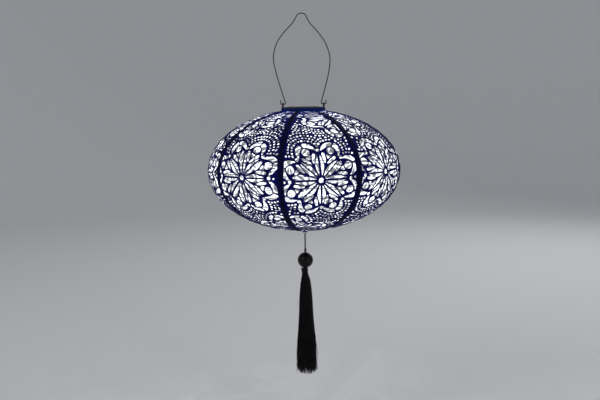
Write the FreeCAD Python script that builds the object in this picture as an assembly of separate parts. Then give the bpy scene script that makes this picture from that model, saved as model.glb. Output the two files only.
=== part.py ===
import FreeCAD, Part
import math
import os

# Hanging solar lantern: wire handle, plastic collar with a lift-out solar unit, oval shell of
# eight cut-fabric gores over sprung wire hoops, bottom hub, and a thread tassel below a bead.
# Millimetres, +Z up. The origin is the hang point, the underside of the handle's crown, and
# the lantern's axis is Z. The handle's plane is XZ. Every height below the crown is negative.

# --- driving dimensions ---------------------------------------------------------------------

SHELL_RADIUS = 152.5
SHELL_HALF_HEIGHT = 96.0
SHELL_CENTRE_Z = -245.0
GORE_COUNT = 8
GORE_THICKNESS = 0.35
GORE_GAP_DEG = 0.08
TAPE_WIDTH = 10.0
TAPE_THICKNESS = 0.25
HOOP_COUNT = 19
HOOP_WIRE_RADIUS = 0.45
SKIN_GAP = 0.1
HOOP_GAP = 0.35

HANDLE_WIRE_RADIUS = 0.8
HANDLE_RISE = 142.1
PIVOT_Z = HANDLE_WIRE_RADIUS - HANDLE_RISE

RIM_Z = -146.0
RIM_RADIUS = 34.8
RIM_THICKNESS = 1.2
COLLAR_RADIUS = 33.6
COLLAR_WALL = 1.6
COLLAR_DEPTH = 6.6
EAR_FOOT_HEIGHT = 1.2
OPENING_RADIUS = 26.5
LEDGE_RADIUS = 24.4
LEDGE_DROP = 2.4
LEDGE_THICKNESS = 1.2
EAR_INNER_X = 32.1
EAR_THICKNESS = 2.1
EAR_HALF_WIDTH = 3.6
EAR_TIP_RADIUS = 2.5
EAR_HOLE_RADIUS = 1.1
HEM_THICKNESS = 0.9
HEM_BOTTOM_Z = -151.7

UNIT_CLEARANCE = 0.1
CAP_RADIUS = 26.1
CAP_TOP_Z = -145.2
CAP_EDGE_RADIUS = 0.9
CELL_SIDE = 32.0
CELL_THICKNESS = 1.4
WINDOW_THICKNESS = 0.8
POCKET_CLEARANCE = 0.3
GASKET_THICKNESS = 0.6
HOUSING_RADIUS = 23.7
HOUSING_WALL = 1.4
HOUSING_BOTTOM_Z = -162.0
FLOOR_THICKNESS = 1.3
SCREW_PLACES = ((0.0, 18.8), (18.3, -6.5), (-18.3, -6.5))
SCREW_RADIUS = 0.9
SCREW_HEAD_RADIUS = 1.6
SCREW_HEAD_HEIGHT = 1.0
SCREW_SLOT_WIDTH = 0.4
SCREW_TIP_Z = -146.5
BOSS_RADIUS = 2.0
LEAD_X = 4.0
LEAD_Y = -6.0
LEAD_RADIUS = 0.4
BATTERY_RADIUS = 5.25
BATTERY_TIP_RADIUS = 1.9
BATTERY_TIP_HEIGHT = 0.8
BATTERY_LENGTH = 29.5
BATTERY_Y = 9.2
BATTERY_Z = -155.2
CONTACT_THICKNESS = 0.3
RIB_X = 16.2
RIB_THICKNESS = 0.8
RIB_HALF_WIDTH = 3.6
DOOR_HALF_LENGTH = 15.7
DOOR_HALF_WIDTH = 5.5
DOOR_PLAY = 0.2
DOOR_LIFT = 0.03
TONGUE_REACH = 0.45
TONGUE_TOP = 0.6
BOARD_X = 13.5
BOARD_Y_LOW = -16.0
BOARD_Y_HIGH = 2.8
BOARD_TOP_Z = -151.5
BOARD_THICKNESS = 1.0
BOARD_POSTS = ((11.0, -13.2), (-11.0, -13.2))
BOARD_POST_RADIUS = 1.2
LED_RADIUS = 2.5
LED_HEIGHT = 5.1
LED_FLANGE_WIDTH = 0.4
LED_LEG_RADIUS = 0.25
LED_LEG_X = 1.27
LED_Y = -0.8
LED_TIP_Z = -164.6
SWITCH_Y = -11.0
SWITCH_TRAVEL = 3.0
SWITCH_HALF_WIDTH = 2.3
SWITCH_HEIGHT = 3.5
SLOT_HALF_WIDTH = 1.3
SLIDER_HALF_LENGTH = 1.3
SLIDER_HALF_WIDTH = 1.0
SLIDER_REACH = 1.2

HUB_RADIUS = 14.0
HUB_TOP_Z = -338.7
HUB_THICKNESS = 1.2
NUB_RADIUS = 4.75
NUB_BOTTOM_Z = -345.4
NUB_NOSE_RADIUS = 1.8
GORE_BOTTOM_RADIUS = 5.0
EYE_WIRE_RADIUS = 0.4
EYE_LEG_X = 2.1
EYE_LEG_DEPTH = 3.2
EYE_BEND_RADIUS = 1.0
EYE_BAR_Z = -347.9
RING_WIRE_RADIUS = 0.4
RING_RADIUS = 2.2
LINK_PLAY = 0.05

CORD_RADIUS = 0.58
CORD_FOOT_X = 0.62
CORD_PARTING = 5.0
KNOT_TOP_Z = -371.6
KNOT_BOTTOM_Z = -378.25
KNOT_RADIUS = 2.05
KNOT_END_RADIUS = 1.4
BEAD_RADIUS = 12.4
BEAD_CENTRE_Z = -390.7
BEAD_BORE_RADIUS = 1.6
CORE_RADIUS = 1.3
NECK_TOP_Z = -403.4
NECK_BOTTOM_Z = -411.4
NECK_RADIUS = 5.7
NECK_WAIST_RADIUS = 4.9
SKIRT_TOP_Z = -403.8
SKIRT_NECK_RADIUS = 4.0
# The skirt's outline below the binding, radius then height.
SKIRT_OUTLINE = (
    (4.8, -411.8), (8.6, -427.3), (11.0, -454.5), (12.3, -478.6), (14.9, -518.0), (16.6, -545.0),
    (16.8, -562.0), (16.2, -575.5),
)

# The handle's corners, as distance from the axis, then height above the pivot: its hooked end,
# from the tip through the ear, and then each leg up to the crown. The sprung wire leans a little,
# so its two legs differ.
HANDLE_HOOK = ((36.4, 6.5), (37.0, 0.0), (28.5, 0.0))
HANDLE_LEFT_LEG = (
    (43.1, 47.5), (48.9, 73.5), (42.2, 98.0), (26.4, 117.0), (15.0, 127.5), (6.6, HANDLE_RISE),
)
HANDLE_RIGHT_LEG = (
    (41.7, 47.5), (45.1, 73.5), (36.2, 98.0), (21.2, 117.0), (11.0, 127.5), (4.6, HANDLE_RISE),
)
HANDLE_HOOK_BEND = 1.7

# --- worked out from them -------------------------------------------------------------------

GORE_DEG = 360.0 / GORE_COUNT
GORE_TOP_RADIUS = COLLAR_RADIUS + HEM_THICKNESS + 0.05
LEDGE_Z = RIM_Z - LEDGE_DROP
CAP_BOTTOM_Z = LEDGE_Z + UNIT_CLEARANCE
HOUSING_TOP_Z = CAP_BOTTOM_Z - GASKET_THICKNESS
HOUSING_INNER_RADIUS = HOUSING_RADIUS - HOUSING_WALL
FLOOR_TOP_Z = HOUSING_BOTTOM_Z + FLOOR_THICKNESS
BOARD_BOTTOM_Z = BOARD_TOP_Z - BOARD_THICKNESS
HUB_BOTTOM_Z = HUB_TOP_Z - HUB_THICKNESS
RING_CENTRE_Z = EYE_BAR_Z + EYE_WIRE_RADIUS + LINK_PLAY + RING_WIRE_RADIUS - RING_RADIUS
SWING_Z = RING_CENTRE_Z - RING_RADIUS
CORD_BEND_RADIUS = RING_WIRE_RADIUS + LINK_PLAY + CORD_RADIUS
SWITCH_SLOT_HALF = SWITCH_TRAVEL / 2 + SLIDER_HALF_LENGTH + 0.3
CELL_TOP_Z = CAP_TOP_Z - UNIT_CLEARANCE - WINDOW_THICKNESS
CELL_BOTTOM_Z = CELL_TOP_Z - CELL_THICKNESS

X_AXIS = FreeCAD.Vector(1, 0, 0)
Z_AXIS = FreeCAD.Vector(0, 0, 1)
ORIGIN = FreeCAD.Vector(0, 0, 0)


# --- shape helpers --------------------------------------------------------------------------

def vec(x, y, z):
    return FreeCAD.Vector(x, y, z)


def cylinder(radius, z_low, z_high, x=0.0, y=0.0):
    return Part.makeCylinder(radius, z_high - z_low, vec(x, y, z_low), Z_AXIS)


def tube(outer, inner, z_low, z_high, x=0.0, y=0.0):
    return cylinder(outer, z_low, z_high, x, y).cut(cylinder(inner, z_low - 1, z_high + 1, x, y))


def block(x_low, x_high, y_low, y_high, z_low, z_high):
    size = (x_high - x_low, y_high - y_low, z_high - z_low)
    return Part.makeBox(size[0], size[1], size[2], vec(x_low, y_low, z_low))


def edges_at(shape, height):
    """The shape's edges that lie flat at a height."""
    flat = [e for e in shape.Edges if e.BoundBox.ZLength < 1e-6]
    return [e for e in flat if abs(e.BoundBox.ZMin - height) < 1e-6]


def turned(profile):
    """Solid of revolution about Z, from a closed outline of (radius, height) corners."""
    corners = [vec(r, 0, z) for r, z in profile]
    face = Part.Face(Part.makePolygon(corners + corners[:1]))
    return face.revolve(ORIGIN, Z_AXIS, 360)


def rounded_path(corners, bends=None):
    """Straight runs joined by tangent arcs. An arc is as large as 0.45 of the shorter run beside
    it allows, unless bends gives that corner a radius."""
    bends = bends or {}
    edges = []
    start = corners[0]
    for i in range(1, len(corners) - 1):
        corner = corners[i]
        back = corners[i - 1] - corner
        ahead = corners[i + 1] - corner
        shorter = min(back.Length, ahead.Length)
        back.normalize()
        ahead.normalize()
        half_turn = (math.pi - back.getAngle(ahead)) / 2
        reach = 0.45 * shorter
        if i in bends:
            reach = bends[i] * math.tan(half_turn)
        radius = reach / math.tan(half_turn)
        inward = back + ahead
        inward.normalize()
        centre = corner + inward * (radius / math.cos(half_turn))
        entry = corner + back * reach
        leave = corner + ahead * reach
        edges.append(Part.LineSegment(start, entry).toShape())
        edges.append(Part.Arc(entry, centre - inward * radius, leave).toShape())
        start = leave
    edges.append(Part.LineSegment(start, corners[-1]).toShape())
    return Part.Wire(edges)


def swept(path, radius):
    """Round wire or cord of this radius along a path."""
    first = path.Edges[0]
    start = first.FirstParameter
    circle = Part.makeCircle(radius, first.valueAt(start), first.tangentAt(start))
    return path.makePipeShell([Part.Wire(circle)], True, False)


def mirrored(corners):
    """The corners, followed by their mirror image across the YZ plane."""
    return corners + [vec(-p.x, p.y, p.z) for p in reversed(corners)]


def shell_arc(inset, top_radius, bottom_radius):
    """Arc of the shell's oval section, this far inside the outer skin, in the XZ plane."""
    wide = SHELL_RADIUS - inset
    tall = SHELL_HALF_HEIGHT - inset
    centre = vec(0, 0, SHELL_CENTRE_Z)
    oval = Part.Ellipse(vec(wide, 0, SHELL_CENTRE_Z), vec(0, 0, SHELL_CENTRE_Z + tall), centre)
    return Part.ArcOfEllipse(oval, -math.acos(bottom_radius / wide), math.acos(top_radius / wide))


def skin_face(outer_inset, inner_inset, top_radius, bottom_radius):
    """Thin section between two ovals, from the bottom radius to the top one."""
    outer = shell_arc(outer_inset, top_radius, bottom_radius)
    inner = shell_arc(inner_inset, top_radius, bottom_radius)
    top = Part.LineSegment(outer.EndPoint, inner.EndPoint)
    bottom = Part.LineSegment(inner.StartPoint, outer.StartPoint)
    return Part.Face(Part.Wire(Part.__sortEdges__([g.toShape() for g in (outer, top, inner, bottom)])))


def hoop_places():
    """Radius and height of each hoop, evenly spaced along the shell's section."""
    inset = GORE_THICKNESS + SKIN_GAP + TAPE_THICKNESS + HOOP_GAP + HOOP_WIRE_RADIUS
    edge = shell_arc(inset, GORE_TOP_RADIUS, GORE_BOTTOM_RADIUS).toShape()
    spots = edge.discretize(HOOP_COUNT + 2)[1:-1]
    return [(p.x, p.z) for p in reversed(spots)]


# --- handle and collar ----------------------------------------------------------------------

def handle_wire():
    left = [vec(-x, 0, PIVOT_Z + rise) for x, rise in HANDLE_HOOK + HANDLE_LEFT_LEG]
    right = [vec(x, 0, PIVOT_Z + rise) for x, rise in HANDLE_HOOK + HANDLE_RIGHT_LEG]
    corners = left + right[::-1]
    hooks = (1, 2, len(corners) - 3, len(corners) - 2)
    return swept(rounded_path(corners, {i: HANDLE_HOOK_BEND for i in hooks}), HANDLE_WIRE_RADIUS)


def collar_ear(side):
    """Upright lug on the rim, with the hole that the handle turns in."""
    x_low = EAR_INNER_X
    x_high = EAR_INNER_X + EAR_THICKNESS
    foot_bottom = RIM_Z - RIM_THICKNESS / 2
    foot = block(x_low, x_high, -EAR_HALF_WIDTH, EAR_HALF_WIDTH, foot_bottom, RIM_Z + EAR_FOOT_HEIGHT)
    stem = block(x_low, x_high, -EAR_TIP_RADIUS, EAR_TIP_RADIUS, RIM_Z, PIVOT_Z)
    tip = Part.makeCylinder(EAR_TIP_RADIUS, EAR_THICKNESS, vec(x_low, 0, PIVOT_Z), X_AXIS)
    hole = Part.makeCylinder(EAR_HOLE_RADIUS, EAR_THICKNESS + 2, vec(x_low - 1, 0, PIVOT_Z), X_AXIS)
    ear = foot.fuse([stem, tip]).removeSplitter().cut(hole)
    if side < 0:
        ear.rotate(ORIGIN, Z_AXIS, 180)
    return ear


def collar_ring():
    rim_bottom = RIM_Z - RIM_THICKNESS
    foot = RIM_Z - COLLAR_DEPTH
    ledge_bottom = LEDGE_Z - LEDGE_THICKNESS
    inner = COLLAR_RADIUS - COLLAR_WALL
    ring = turned((
        (OPENING_RADIUS, RIM_Z), (RIM_RADIUS, RIM_Z), (RIM_RADIUS, rim_bottom), (COLLAR_RADIUS, rim_bottom),
        (COLLAR_RADIUS, foot), (inner, foot), (inner, ledge_bottom), (LEDGE_RADIUS, ledge_bottom),
        (LEDGE_RADIUS, LEDGE_Z), (OPENING_RADIUS, LEDGE_Z),
    ))
    return ring.fuse([collar_ear(1), collar_ear(-1)])


def hem_band():
    return tube(COLLAR_RADIUS + HEM_THICKNESS, COLLAR_RADIUS, HEM_BOTTOM_Z, RIM_Z - RIM_THICKNESS)


# --- shell ----------------------------------------------------------------------------------

def gore(number):
    """One fabric gore, a thin oval-section slice between two seams."""
    gore_face = skin_face(0, GORE_THICKNESS, GORE_TOP_RADIUS, GORE_BOTTOM_RADIUS)
    slice_ = gore_face.revolve(ORIGIN, Z_AXIS, GORE_DEG - GORE_GAP_DEG)
    slice_.rotate(ORIGIN, Z_AXIS, number * GORE_DEG + GORE_GAP_DEG / 2)
    return slice_


def seam_tapes():
    """A flat tape inside each seam, from the collar to the hub."""
    inset = GORE_THICKNESS + SKIN_GAP
    lining = skin_face(inset, inset + TAPE_THICKNESS, GORE_TOP_RADIUS + 1.2, HUB_RADIUS + 1)
    wide_slice = lining.revolve(ORIGIN, Z_AXIS, GORE_DEG)
    wide_slice.rotate(ORIGIN, Z_AXIS, -GORE_DEG / 2)
    strip = block(0, SHELL_RADIUS, -TAPE_WIDTH / 2, TAPE_WIDTH / 2,
                  SHELL_CENTRE_Z - SHELL_HALF_HEIGHT, SHELL_CENTRE_Z + SHELL_HALF_HEIGHT)
    tape = wide_slice.common(strip).Solids[0]
    tapes = []
    for i in range(GORE_COUNT):
        turned_tape = tape.copy()
        turned_tape.rotate(ORIGIN, Z_AXIS, i * GORE_DEG)
        tapes.append(turned_tape)
    return Part.makeCompound(tapes)


def hoop(radius, height):
    return Part.makeTorus(radius, HOOP_WIRE_RADIUS, vec(0, 0, height))


# --- solar unit -----------------------------------------------------------------------------

def solar_cap():
    """Lid with the pocket that the cell lies in, and screw holes in its underside."""
    cap = cylinder(CAP_RADIUS, CAP_BOTTOM_Z, CAP_TOP_Z)
    cap = cap.makeFillet(CAP_EDGE_RADIUS, edges_at(cap, CAP_TOP_Z))
    half = CELL_SIDE / 2 + POCKET_CLEARANCE
    cap = cap.cut(block(-half, half, -half, half, CELL_BOTTOM_Z, CAP_TOP_Z + 1))
    for x in (LEAD_X, -LEAD_X):
        cap = cap.cut(cylinder(LEAD_RADIUS + 0.2, CAP_BOTTOM_Z - 1, CELL_BOTTOM_Z + 1, x, LEAD_Y))
    for x, y in SCREW_PLACES:
        cap = cap.cut(cylinder(SCREW_RADIUS + 0.05, CAP_BOTTOM_Z - 1, SCREW_TIP_Z + 0.2, x, y))
    return cap


def solar_cell():
    half = CELL_SIDE / 2
    return block(-half, half, -half, half, CELL_BOTTOM_Z, CELL_TOP_Z)


def cell_window():
    half = CELL_SIDE / 2
    return block(-half, half, -half, half, CELL_TOP_Z, CELL_TOP_Z + WINDOW_THICKNESS)


def cell_leads():
    leads = [cylinder(LEAD_RADIUS, BOARD_TOP_Z, CELL_BOTTOM_Z, x, LEAD_Y) for x in (LEAD_X, -LEAD_X)]
    return Part.makeCompound(leads)


def gasket():
    return tube(HOUSING_RADIUS - 0.2, HOUSING_INNER_RADIUS - 0.4, HOUSING_TOP_Z, CAP_BOTTOM_Z)


def side_block(side, near_x, far_x, y, half_width, z_low, z_high):
    """Block between two distances from the YZ plane, on its positive or negative side."""
    x_low, x_high = sorted((side * near_x, side * far_x))
    return block(x_low, x_high, y - half_width, y + half_width, z_low, z_high)


def housing_inside():
    """The screw bosses, the board's posts and the ribs behind the battery contacts."""
    grown = []
    inside_foot = FLOOR_TOP_Z - 0.5
    for x, y in SCREW_PLACES:
        grown.append(cylinder(BOSS_RADIUS, HOUSING_BOTTOM_Z, HOUSING_TOP_Z, x, y))
    for x, y in BOARD_POSTS:
        grown.append(cylinder(BOARD_POST_RADIUS, inside_foot, BOARD_BOTTOM_Z, x, y))
    for side in (1, -1):
        far = RIB_X + RIB_THICKNESS
        grown.append(side_block(side, RIB_X, far, BATTERY_Y, RIB_HALF_WIDTH, inside_foot, BATTERY_Z + 3))
    return grown


def housing_holes():
    """The screws' holes, the LED's hole, the battery door's opening and the switch's slot."""
    below = HOUSING_BOTTOM_Z - 1
    recess_top = HOUSING_BOTTOM_Z + SCREW_HEAD_HEIGHT + 0.1
    holes = []
    for x, y in SCREW_PLACES:
        holes.append(cylinder(SCREW_RADIUS + 0.2, below, HOUSING_TOP_Z + 1, x, y))
        holes.append(cylinder(SCREW_HEAD_RADIUS + 0.1, below, recess_top, x, y))
    holes.append(cylinder(LED_RADIUS + 0.3, below, FLOOR_TOP_Z + 1, 0, LED_Y))
    length = DOOR_HALF_LENGTH + DOOR_PLAY
    width = DOOR_HALF_WIDTH + DOOR_PLAY
    holes.append(block(-length, length, BATTERY_Y - width, BATTERY_Y + width, below, FLOOR_TOP_Z + 0.01))
    slot_y = (SWITCH_Y - SLOT_HALF_WIDTH, SWITCH_Y + SLOT_HALF_WIDTH)
    holes.append(block(-SWITCH_SLOT_HALF, SWITCH_SLOT_HALF, slot_y[0], slot_y[1], below, FLOOR_TOP_Z + 1))
    return holes


def housing():
    """Round cup under the cap, with bosses, posts, contact ribs and its floor openings."""
    cup = cylinder(HOUSING_RADIUS, HOUSING_BOTTOM_Z, HOUSING_TOP_Z)
    cup = cup.cut(cylinder(HOUSING_INNER_RADIUS, FLOOR_TOP_Z, HOUSING_TOP_Z + 1))
    cup = cup.fuse(housing_inside()).removeSplitter()
    for hole in housing_holes():
        cup = cup.cut(hole)
    return cup


def battery_door():
    """Snap-in lid under the battery, held by a tongue at each end."""
    top = FLOOR_TOP_Z + DOOR_LIFT
    y_low = BATTERY_Y - DOOR_HALF_WIDTH
    y_high = BATTERY_Y + DOOR_HALF_WIDTH
    plate = block(-DOOR_HALF_LENGTH, DOOR_HALF_LENGTH, y_low, y_high, HOUSING_BOTTOM_Z, top)
    tongues = []
    for side in (1, -1):
        root = DOOR_HALF_LENGTH - 0.8
        tip = DOOR_HALF_LENGTH + TONGUE_REACH
        tongues.append(side_block(side, root, tip, BATTERY_Y, 2, top, FLOOR_TOP_Z + TONGUE_TOP))
    return plate.fuse(tongues)


def battery():
    """Rechargeable cell with its raised positive end, lying along X."""
    foot = vec(-BATTERY_LENGTH / 2, BATTERY_Y, BATTERY_Z)
    can = Part.makeCylinder(BATTERY_RADIUS, BATTERY_LENGTH - BATTERY_TIP_HEIGHT, foot, X_AXIS)
    can = can.makeFillet(0.5, [e for e in can.Edges if e.BoundBox.XLength < 1e-6])
    tip = Part.makeCylinder(BATTERY_TIP_RADIUS, BATTERY_LENGTH, foot, X_AXIS)
    return can.fuse(tip)


def contact_positive():
    near = BATTERY_LENGTH / 2 + 0.1
    return side_block(1, near, near + CONTACT_THICKNESS, BATTERY_Y, 3, BATTERY_Z - 4, BATTERY_Z + 4)


def contact_negative():
    """Bent leaf spring that presses on the flat end of the battery."""
    near = -BATTERY_LENGTH / 2 - 0.1
    far = -RIB_X + 0.1
    back = far + CONTACT_THICKNESS
    reach = 4.2
    outline = ((far, -reach), (back, -reach), (near, 0.0), (back, reach), (far, reach),
               (near - CONTACT_THICKNESS, 0.0))
    corners = [vec(x, BATTERY_Y - 2.5, BATTERY_Z + z) for x, z in outline]
    face = Part.Face(Part.makePolygon(corners + corners[:1]))
    return face.extrude(vec(0, 5, 0))


def circuit_board():
    return block(-BOARD_X, BOARD_X, BOARD_Y_LOW, BOARD_Y_HIGH, BOARD_BOTTOM_Z, BOARD_TOP_Z)


def board_parts():
    """Inductor, charge controller and storage capacitor, under the board."""
    z = BOARD_BOTTOM_Z
    inductor = cylinder(1.9, z - 3.6, z, -8.0, -6.0)
    controller = block(4.0, 9.0, -5.5, -1.6, z - 1.5, z)
    capacitor = cylinder(2.0, z - 4.5, z, 8.5, -8.6)
    return Part.makeCompound([inductor, controller, capacitor])


def led():
    """Round-nosed white LED on two leads, pointing down through the housing floor."""
    nose_z = LED_TIP_Z + LED_RADIUS
    flange_z = nose_z + LED_HEIGHT
    body = cylinder(LED_RADIUS, nose_z, flange_z, 0, LED_Y)
    nose = Part.makeSphere(LED_RADIUS, vec(0, LED_Y, nose_z))
    flange = cylinder(LED_RADIUS + LED_FLANGE_WIDTH, flange_z, flange_z + 1.0, 0, LED_Y)
    legs = []
    for x in (LED_LEG_X, -LED_LEG_X):
        legs.append(cylinder(LED_LEG_RADIUS, flange_z + 0.5, BOARD_BOTTOM_Z, x, LED_Y))
    return body.fuse([nose, flange] + legs).removeSplitter()


def switch_body():
    half = SWITCH_TRAVEL / 2 + 3.0
    outer_y = (SWITCH_Y - SWITCH_HALF_WIDTH, SWITCH_Y + SWITCH_HALF_WIDTH)
    shell = block(-half, half, outer_y[0], outer_y[1], FLOOR_TOP_Z, FLOOR_TOP_Z + SWITCH_HEIGHT)
    slot_y = (SWITCH_Y - SLOT_HALF_WIDTH, SWITCH_Y + SLOT_HALF_WIDTH)
    cavity_top = FLOOR_TOP_Z + SWITCH_HEIGHT - 0.9
    slot = SWITCH_SLOT_HALF
    return shell.cut(block(-slot, slot, slot_y[0], slot_y[1], FLOOR_TOP_Z - 1, cavity_top))


def switch_slider():
    """The slider at rest, at the off end of its travel. It stands out below the floor."""
    centre = -SWITCH_TRAVEL / 2
    y_low = SWITCH_Y - SLIDER_HALF_WIDTH
    y_high = SWITCH_Y + SLIDER_HALF_WIDTH
    bottom = HOUSING_BOTTOM_Z - SLIDER_REACH
    half = SLIDER_HALF_LENGTH
    return block(centre - half, centre + half, y_low, y_high, bottom, FLOOR_TOP_Z + 2.3)


def screws():
    pieces = []
    head_bottom = HOUSING_BOTTOM_Z + 0.1
    half_slot = SCREW_SLOT_WIDTH / 2
    for x, y in SCREW_PLACES:
        head = cylinder(SCREW_HEAD_RADIUS, head_bottom, head_bottom + SCREW_HEAD_HEIGHT, x, y)
        slot = block(x - 2, x + 2, y - half_slot, y + half_slot, HOUSING_BOTTOM_Z, HOUSING_BOTTOM_Z + 0.5)
        shank = cylinder(SCREW_RADIUS, HOUSING_BOTTOM_Z + 1.0, SCREW_TIP_Z, x, y)
        pieces.append(head.cut(slot).fuse(shank))
    return Part.makeCompound(pieces)


# --- hub and its ring -----------------------------------------------------------------------

def hub_plate():
    return cylinder(HUB_RADIUS, HUB_BOTTOM_Z, HUB_TOP_Z)


def hub_nub():
    """Round-nosed stub that closes the shell's bottom and holds the eye."""
    nub = cylinder(NUB_RADIUS, NUB_BOTTOM_Z, HUB_BOTTOM_Z)
    nub = nub.makeFillet(NUB_NOSE_RADIUS, edges_at(nub, NUB_BOTTOM_Z))
    hole_top = NUB_BOTTOM_Z + EYE_LEG_DEPTH + 0.1
    for x in (EYE_LEG_X, -EYE_LEG_X):
        nub = nub.cut(cylinder(EYE_WIRE_RADIUS + LINK_PLAY, NUB_BOTTOM_Z - 1, hole_top, x, 0))
    return nub


def tassel_eye():
    """Wire staple whose legs stand in the nub."""
    half = [vec(EYE_LEG_X, 0, NUB_BOTTOM_Z + EYE_LEG_DEPTH), vec(EYE_LEG_X, 0, EYE_BAR_Z)]
    return swept(rounded_path(mirrored(half), {1: EYE_BEND_RADIUS, 2: EYE_BEND_RADIUS}), EYE_WIRE_RADIUS)


def tassel_ring():
    return Part.makeTorus(RING_RADIUS, RING_WIRE_RADIUS, vec(0, 0, RING_CENTRE_Z), X_AXIS)


# --- tassel ---------------------------------------------------------------------------------

def tassel_cord():
    """One cord, doubled over the ring, with both ends in the knot."""
    top = SWING_Z + CORD_BEND_RADIUS
    across = CORD_BEND_RADIUS
    half = [
        vec(CORD_FOOT_X, 0, KNOT_TOP_Z), vec(CORD_FOOT_X, 0, SWING_Z - CORD_PARTING),
        vec(across, 0, SWING_Z - CORD_PARTING / 2), vec(across, 0, top),
    ]
    nearly_round = CORD_BEND_RADIUS * 0.999
    path = rounded_path(mirrored(half), {3: nearly_round, 4: nearly_round})
    cord = swept(path, CORD_RADIUS)
    radii = [round(e.Curve.Radius, 2) for e in path.Edges if hasattr(e.Curve, "Radius")]
    print("tassel cord bend radii", radii)
    print("tassel cord length", round(path.Length, 2))
    print("tassel cord volume against section times length",
          round(cord.Volume / (math.pi * CORD_RADIUS ** 2 * path.Length), 4))
    return cord


def tassel_knot():
    """Plain body of the knot that both ends of the cord are tied in."""
    end = KNOT_END_RADIUS
    middle = (KNOT_TOP_Z + KNOT_BOTTOM_Z) / 2
    bulge = Part.Arc(vec(end, 0, KNOT_BOTTOM_Z), vec(KNOT_RADIUS, 0, middle), vec(end, 0, KNOT_TOP_Z))
    lines = (
        Part.LineSegment(vec(end, 0, KNOT_TOP_Z), vec(0, 0, KNOT_TOP_Z)),
        Part.LineSegment(vec(0, 0, KNOT_TOP_Z), vec(0, 0, KNOT_BOTTOM_Z)),
        Part.LineSegment(vec(0, 0, KNOT_BOTTOM_Z), vec(end, 0, KNOT_BOTTOM_Z)),
    )
    outline = Part.Wire([bulge.toShape()] + [line.toShape() for line in lines])
    return Part.Face(outline).revolve(ORIGIN, Z_AXIS, 360)


def tassel_core():
    """The cord's run through the bead, down to the threads."""
    return cylinder(CORE_RADIUS, SKIRT_TOP_Z, KNOT_BOTTOM_Z)


def tassel_bead():
    ball = Part.makeSphere(BEAD_RADIUS, vec(0, 0, BEAD_CENTRE_Z))
    span = BEAD_RADIUS + 1
    return ball.cut(cylinder(BEAD_BORE_RADIUS, BEAD_CENTRE_Z - span, BEAD_CENTRE_Z + span))


def neck_binding():
    """Thread wound round the top of the skirt, narrowing to a waist."""
    inner = SKIRT_NECK_RADIUS + LINK_PLAY
    return turned((
        (inner, NECK_TOP_Z), (NECK_RADIUS, NECK_TOP_Z), (NECK_WAIST_RADIUS, NECK_BOTTOM_Z), (inner, NECK_BOTTOM_Z),
    ))


def tassel_skirt():
    """The bundle of threads as one solid, flaring from the binding to its cut end."""
    outline = [vec(r, 0, z) for r, z in SKIRT_OUTLINE]
    flare = Part.BSplineCurve()
    flare.interpolate(outline)
    end_z = outline[-1].z
    neck = [
        vec(outline[-1].x, 0, end_z), vec(0, 0, end_z), vec(0, 0, SKIRT_TOP_Z),
        vec(SKIRT_NECK_RADIUS, 0, SKIRT_TOP_Z), vec(SKIRT_NECK_RADIUS, 0, outline[0].z), outline[0],
    ]
    edges = [flare.toShape()]
    for a, b in zip(neck, neck[1:]):
        edges.append(Part.LineSegment(a, b).toShape())
    return Part.Face(Part.Wire(edges)).revolve(ORIGIN, Z_AXIS, 360)


# --- all the pieces -------------------------------------------------------------------------

def all_pieces():
    single = (
        handle_wire, collar_ring, hem_band, seam_tapes,
        solar_cap, solar_cell, cell_window, cell_leads, gasket, housing, battery_door, battery,
        contact_positive, contact_negative, circuit_board, board_parts, led, switch_body,
        switch_slider, screws,
        hub_plate, hub_nub, tassel_eye, tassel_ring,
        tassel_cord, tassel_knot, tassel_core, tassel_bead, neck_binding, tassel_skirt,
    )
    pieces = {make.__name__: make() for make in single}
    for i in range(GORE_COUNT):
        pieces["gore_%d" % (i + 1)] = gore(i)
    for i, (radius, height) in enumerate(hoop_places()):
        pieces["hoop_%02d" % (i + 1)] = hoop(radius, height)
    return pieces


def main():
    os.makedirs("parts", exist_ok=True)
    for name, shape in sorted(all_pieces().items()):
        if not shape.isValid() or shape.Volume <= 0:
            raise ValueError("bad shape: " + name)
        shape.exportStep("parts/" + name + ".step")


main()
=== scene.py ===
import random
from math import asin, atan2, cos, hypot, pi, radians, sin, sqrt, tau

import bpy
import numpy as np
from mathutils import Matrix, Vector, geometry


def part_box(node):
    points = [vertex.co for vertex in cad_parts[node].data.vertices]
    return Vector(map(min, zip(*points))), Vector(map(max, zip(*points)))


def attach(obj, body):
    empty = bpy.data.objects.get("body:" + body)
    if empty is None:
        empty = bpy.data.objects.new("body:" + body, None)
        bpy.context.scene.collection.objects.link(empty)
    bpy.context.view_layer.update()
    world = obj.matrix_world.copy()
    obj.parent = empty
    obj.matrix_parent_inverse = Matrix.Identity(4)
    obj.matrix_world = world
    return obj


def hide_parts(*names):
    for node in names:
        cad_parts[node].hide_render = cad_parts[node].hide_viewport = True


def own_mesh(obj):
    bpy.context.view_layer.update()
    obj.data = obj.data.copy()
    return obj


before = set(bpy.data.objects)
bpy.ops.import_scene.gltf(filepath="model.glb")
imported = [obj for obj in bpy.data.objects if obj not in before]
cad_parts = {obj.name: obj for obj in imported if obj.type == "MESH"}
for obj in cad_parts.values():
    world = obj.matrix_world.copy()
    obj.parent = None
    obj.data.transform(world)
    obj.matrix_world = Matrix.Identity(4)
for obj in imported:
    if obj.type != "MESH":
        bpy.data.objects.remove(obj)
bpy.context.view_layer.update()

# The lantern's looks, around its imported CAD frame. Metres, +Z up, origin at the hang point.

# --- sizes ---

GORE_COUNT = 8
HALF_GORE = pi / GORE_COUNT
HOOP_COUNT = 19
CLOTH_THICKNESS = 0.00030
CLOTH_SAG = 0.0005
# A gore's outline stops just short of its neighbour's.
GORE_SHARE = 0.9985
EDGE_STEPS = 72
GRID_SPACING = 0.0065
GRID_MARGIN = 0.0015

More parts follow.
